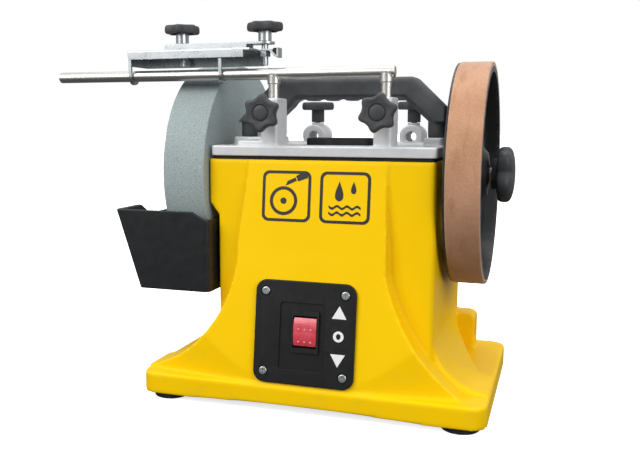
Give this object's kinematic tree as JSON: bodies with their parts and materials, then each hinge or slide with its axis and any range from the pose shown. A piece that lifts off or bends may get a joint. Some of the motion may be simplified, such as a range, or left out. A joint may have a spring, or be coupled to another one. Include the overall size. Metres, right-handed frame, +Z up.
{
  "type": "wet grinding sharpener",
  "caption": "Low-speed bench sharpener with a water-cooled grindstone and a leather honing wheel on one arbor, an adjustable tool support bar and a clamping jig.",
  "frame": {"origin": "on the floor, under the middle of the machine's outline", "axes": "+X along the arbor from the grindstone to the honing wheel, -Y the switch side, +Z up"},
  "size_m": [0.42, 0.223, 0.3398],
  "materials": {
    "yellow_shell": "smooth, glossy moulded shell",
    "steel_sheet": "powder-coated sheet",
    "rubber_black": "matt",
    "zinc_screw": "zinc plated",
    "casting": "satin, silver painted casting",
    "black_plastic": "fine-grained",
    "switch_black": "satin",
    "rocker_red": "translucent red, glossy",
    "bronze": "sintered",
    "motor_steel": "painted",
    "lamination": "stacked laminations",
    "copper_winding": "varnished wire",
    "alloy_cast": "as cast",
    "ground_steel": "ground",
    "bright_rod": "bright drawn rod",
    "zinc_sheet": "blue zinc plated sheet",
    "stone": "fine grit, matt, porous",
    "leather": "suede side out",
    "trough_black": "satin moulded",
    "terminal_white": "nylon",
    "capacitor_grey": "smooth"
  },
  "bodies": {
    "base": {"housing": "yellow_shell", "base_cover": "steel_sheet", "feet": "rubber_black", "foot_screws": "zinc_screw", "top_seal": "rubber_black", "top_casting": "casting", "casting_screws": "zinc_screw", "shaft_bushings": "bronze", "carry_handle": "black_plastic", "handle_screws": "zinc_screw", "top_pad": "rubber_black", "switch_plate": "switch_black", "switch_plate_screws": "zinc_screw", "switch_body": "switch_black", "cord_grommet": "rubber_black", "trough_studs": "zinc_screw", "capacitor": "capacitor_grey", "terminal_block": "terminal_white", "motor_pivot_rod": "ground_steel"},
    "motor": {"motor_can": "motor_steel", "motor_stator": "lamination", "motor_windings": "copper_winding", "motor_end_bells": "alloy_cast", "motor_bracket": "zinc_sheet"},
    "rotor": {"motor_shaft": "ground_steel", "motor_rotor": "lamination", "drive_roller": "rubber_black"},
    "arbor": {"main_shaft": "ground_steel", "grindstone": "stone", "stone_flange_inner": "ground_steel", "stone_flange_outer": "ground_steel", "stone_nut": "zinc_screw", "honing_drum": "black_plastic", "friction_ring": "rubber_black", "leather_band": "leather"},
    "honing_clamp": {"honing_knob": "black_plastic"},
    "rocker": {"rocker": "rocker_red"},
    "support": {"support_bar": "bright_rod", "support_leg_left": "bright_rod", "support_leg_right": "bright_rod"},
    "jig": {"jig_channel": "zinc_sheet", "jig_hooks": "zinc_sheet", "jig_nuts": "zinc_screw", "jig_stop_bracket": "zinc_sheet", "jig_stop_pad": "rubber_black"},
    "jig_clamp": {"jig_clamp_bar": "zinc_sheet"},
    "trough": {"trough": "trough_black"},
    "front_clamp_left": {"front_knob_left": "black_plastic", "front_stud_left": "zinc_screw"},
    "front_clamp_right": {"front_knob_right": "black_plastic", "front_stud_right": "zinc_screw"},
    "rear_clamp_left": {"rear_knob_left": "black_plastic", "rear_stud_left": "zinc_screw"},
    "rear_clamp_right": {"rear_knob_right": "black_plastic", "rear_stud_right": "zinc_screw"},
    "jig_clamp_left": {"jig_knob_left": "black_plastic", "jig_stud_left": "zinc_screw"},
    "jig_clamp_right": {"jig_knob_right": "black_plastic", "jig_stud_right": "zinc_screw"}
  },
  "joints": [
    {"name": "arbor_spin", "type": "hinge", "parent": "base", "child": "arbor", "pos_m": [0, 0.0065, 0.205], "axis": [1, 0, 0], "continuous": true},
    {"name": "motor_swing", "type": "hinge", "parent": "base", "child": "motor", "pos_m": [0.065, 0.0685, 0.196], "axis": [-1, 0, 0], "range_deg": [0, 3.5]},
    {"name": "motor_spin", "type": "hinge", "parent": "motor", "child": "rotor", "pos_m": [0.065, 0.0065, 0.1263], "axis": [1, 0, 0], "continuous": true},
    {"name": "honing_clamp_turn", "type": "hinge", "parent": "arbor", "child": "honing_clamp", "pos_m": [0.2, 0.0065, 0.205], "axis": [1, 0, 0], "range_deg": [0, 180]},
    {"name": "rocker_tilt", "type": "hinge", "parent": "base", "child": "rocker", "pos_m": [0.0483, -0.09941, 0.0728], "axis": [1, 0, 0], "range_deg": [-9, 9]},
    {"name": "support_lift", "type": "slide", "parent": "base", "child": "support", "axis": [0, 0, 1], "range_m": [-0.005, 0.03]},
    {"name": "jig_slide", "type": "slide", "parent": "support", "child": "jig", "axis": [1, 0, 0], "range_m": [-0.065, 0.022]},
    {"name": "jig_clamp_lift", "type": "slide", "parent": "jig", "child": "jig_clamp", "axis": [0, 0, 1], "range_m": [-0.0008, 0.006]},
    {"name": "trough_drop", "type": "slide", "parent": "base", "child": "trough", "axis": [0, 0, -1], "range_m": [0, 0.0145]},
    {"name": "front_clamp_left_turn", "type": "hinge", "parent": "base", "child": "front_clamp_left", "pos_m": [0.0075, -0.0855, 0.259], "axis": [0, 1, 0], "range_deg": [0, 180]},
    {"name": "rear_clamp_left_turn", "type": "hinge", "parent": "base", "child": "rear_clamp_left", "pos_m": [0.0075, 0.0685, 0.255], "axis": [0, 0, 1], "range_deg": [0, 180]},
    {"name": "jig_clamp_left_turn", "type": "hinge", "parent": "jig_clamp", "child": "jig_clamp_left", "pos_m": [-0.088, -0.0535, 0.325], "axis": [0, 0, 1], "range_deg": [0, 180]},
    {"name": "front_clamp_right_turn", "type": "hinge", "parent": "base", "child": "front_clamp_right", "pos_m": [0.1075, -0.0855, 0.259], "axis": [0, 1, 0], "range_deg": [0, 180]},
    {"name": "rear_clamp_right_turn", "type": "hinge", "parent": "base", "child": "rear_clamp_right", "pos_m": [0.1075, 0.0685, 0.255], "axis": [0, 0, 1], "range_deg": [0, 180]},
    {"name": "jig_clamp_right_turn", "type": "hinge", "parent": "jig_clamp", "child": "jig_clamp_right", "pos_m": [-0.0065, -0.0535, 0.325], "axis": [0, 0, 1], "range_deg": [0, 180]}
  ],
  "couplings": [
    {"joint": "motor_spin", "follows": "arbor_spin", "ratio": 12.286}
  ]
}
